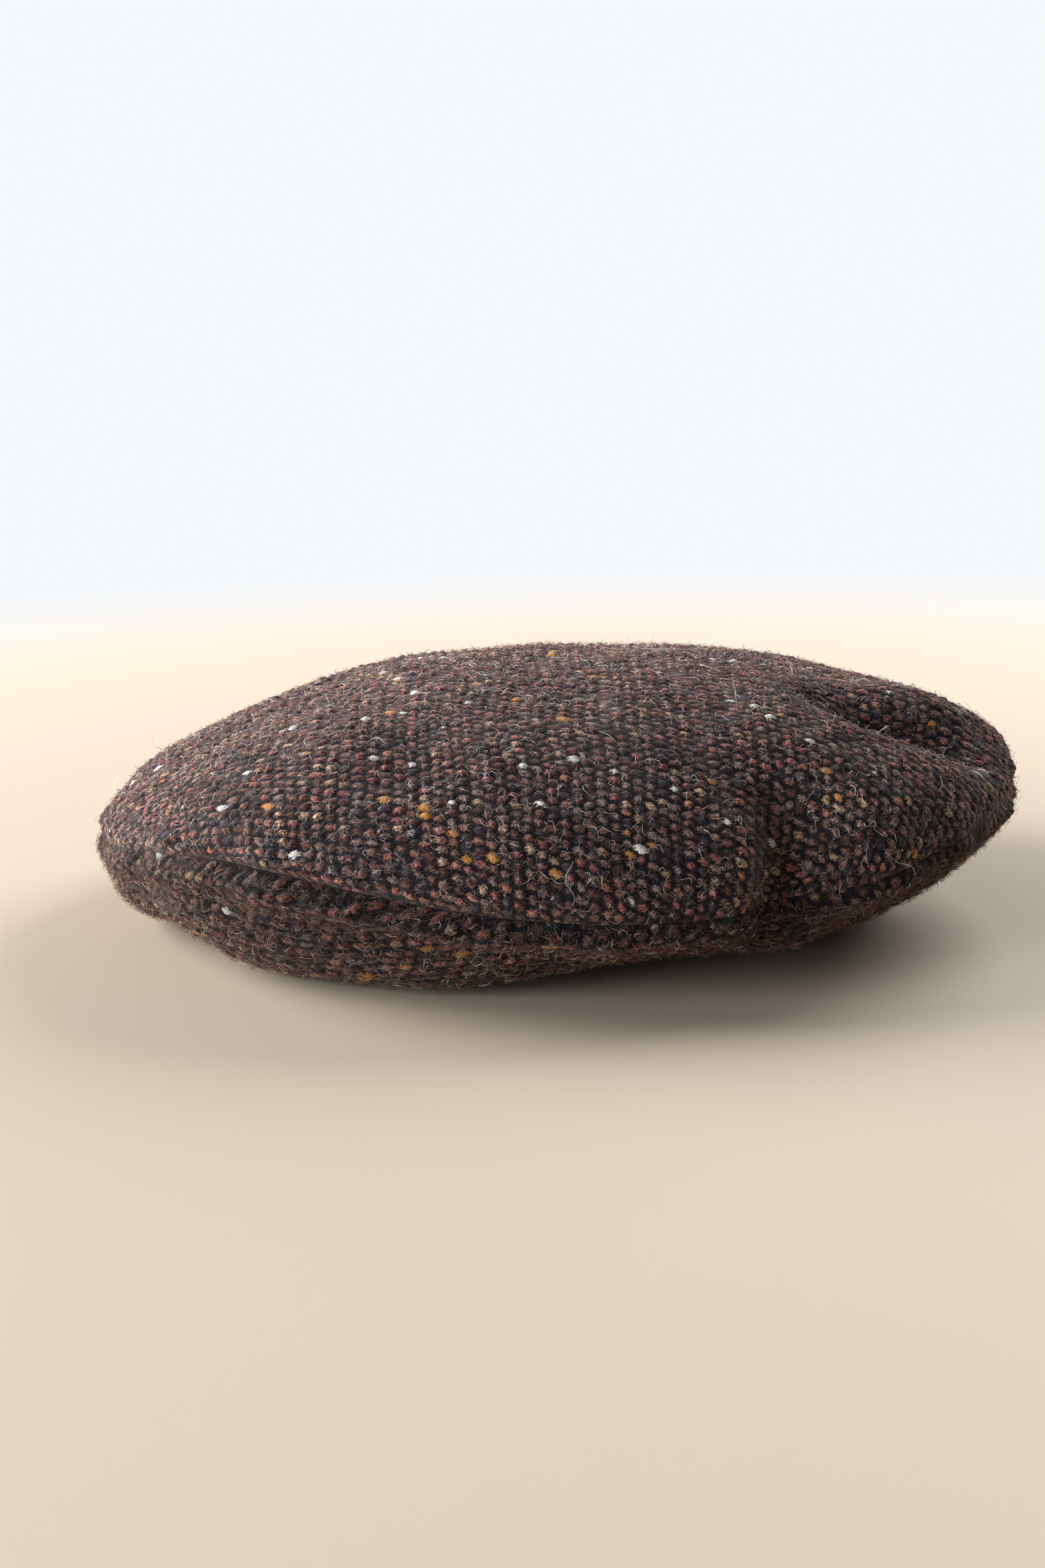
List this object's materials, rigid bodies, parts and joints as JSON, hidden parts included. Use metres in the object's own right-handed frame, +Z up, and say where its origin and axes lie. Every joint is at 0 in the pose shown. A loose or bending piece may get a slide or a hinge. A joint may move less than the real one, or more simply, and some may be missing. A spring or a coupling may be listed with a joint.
{
  "type": "newsboy cap",
  "caption": "Soft newsboy cap in coarse flecked tweed with a round puffed crown top, rolled side panels, lining, sweatband and a short stiff visor, lying on its head opening.",
  "frame": {"origin": "centre of the bounding box on the surface the cap lies on, at the height of its hem", "axes": "+Z up from the head opening to the crown, +Y from the back of the cap to the visor, +X to the right of someone looking at the back"},
  "size_m": [0.289, 0.2767, 0.078],
  "materials": {
    "tweed": "coarse wool tweed, napped",
    "lining": "satin lining",
    "sweatband": "cotton twill",
    "board": "moulded sheet"
  },
  "bodies": {
    "cap": {"crown_top": "tweed", "side_panel_back": "tweed", "side_panel_front": "tweed", "lining_top": "lining", "lining_side_back": "lining", "lining_side_front": "lining", "sweatband": "sweatband"},
    "visor": {"visor_board": "board", "visor_top_cover": "tweed", "visor_under_cover": "tweed"}
  },
  "joints": [
    {"name": "visor_swing", "type": "hinge", "parent": "cap", "child": "visor", "pos_m": [-0.0135, 0.038, 0.018], "axis": [1, 0, 0], "range_deg": [0, 12], "stiffness_Nm_per_rad": 0.05}
  ]
}
